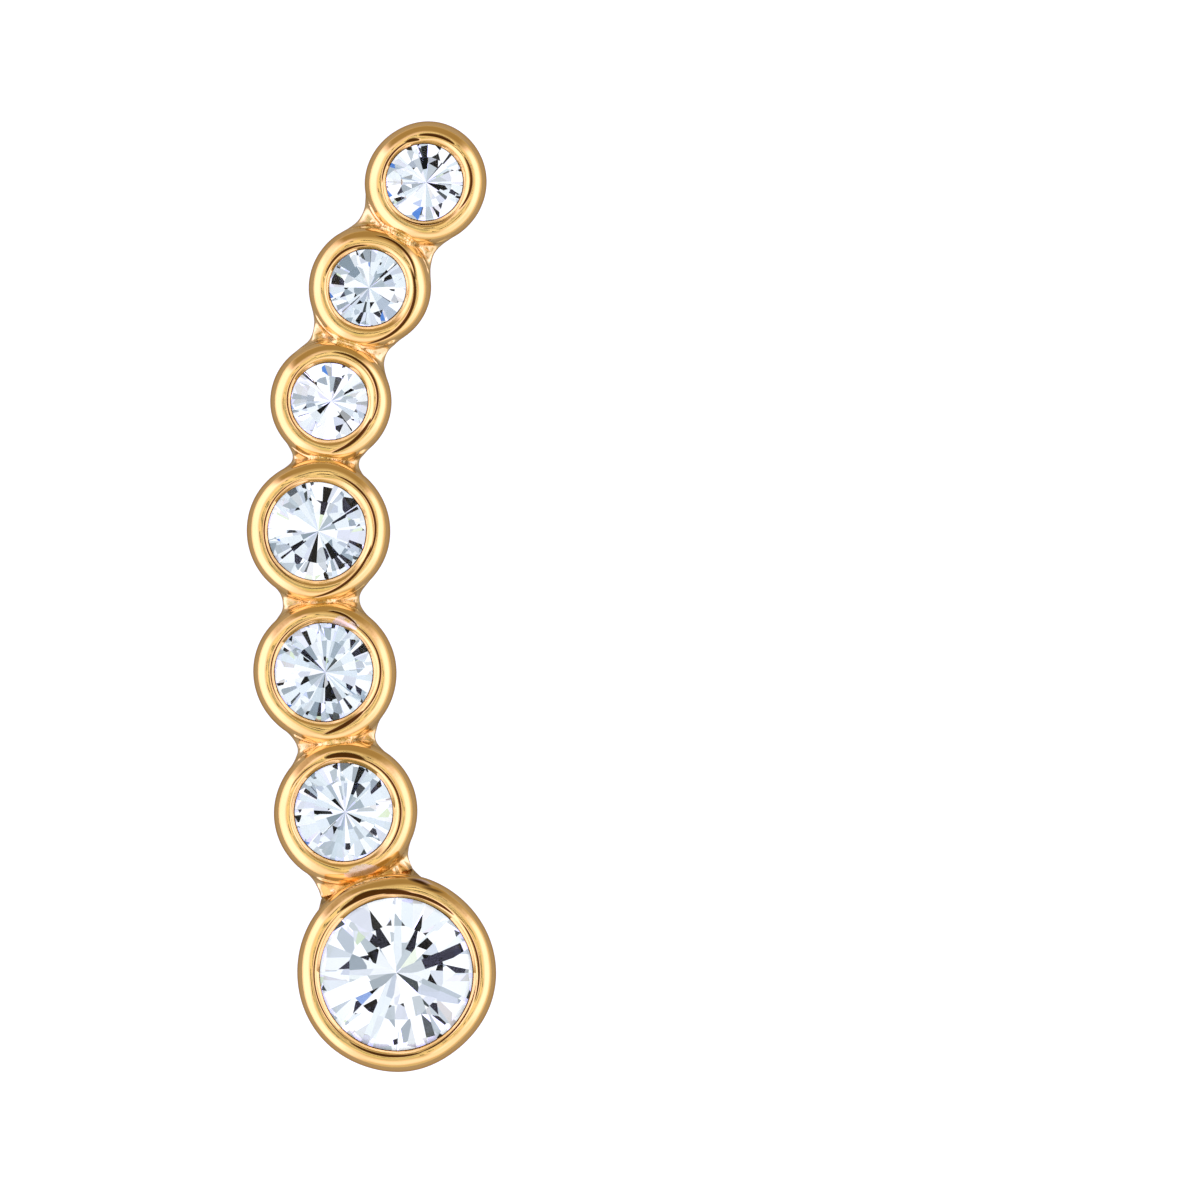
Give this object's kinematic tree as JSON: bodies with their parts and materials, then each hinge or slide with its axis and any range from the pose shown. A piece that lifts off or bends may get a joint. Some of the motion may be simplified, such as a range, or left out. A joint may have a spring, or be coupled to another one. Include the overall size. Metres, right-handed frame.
{
  "type": "ear climber",
  "caption": "Ear climber: round foiled stones in gold rub-over bezels, soldered in a curved row, with a bent pin behind that goes through the lobe and lies along the ear.",
  "frame": {"origin": "middle of the outline box seen from the front, in the plane that the pin lies on", "axes": "+Z out of the front, the way the stones face; +Y up the row, from the large stone to the small ones; +X towards the side that the top of the row leans to"},
  "size_m": [0.0052, 0.02, 0.0063],
  "materials": {
    "gold": "polished yellow gold plating on silver",
    "crystal": "clear cut crystal over a mirror foil"
  },
  "bodies": {
    "root": {"setting": "gold", "stone_1": "crystal", "stone_2": "crystal", "stone_3": "crystal", "stone_4": "crystal", "stone_5": "crystal", "stone_6": "crystal", "stone_7": "crystal"}
  },
  "joints": []
}
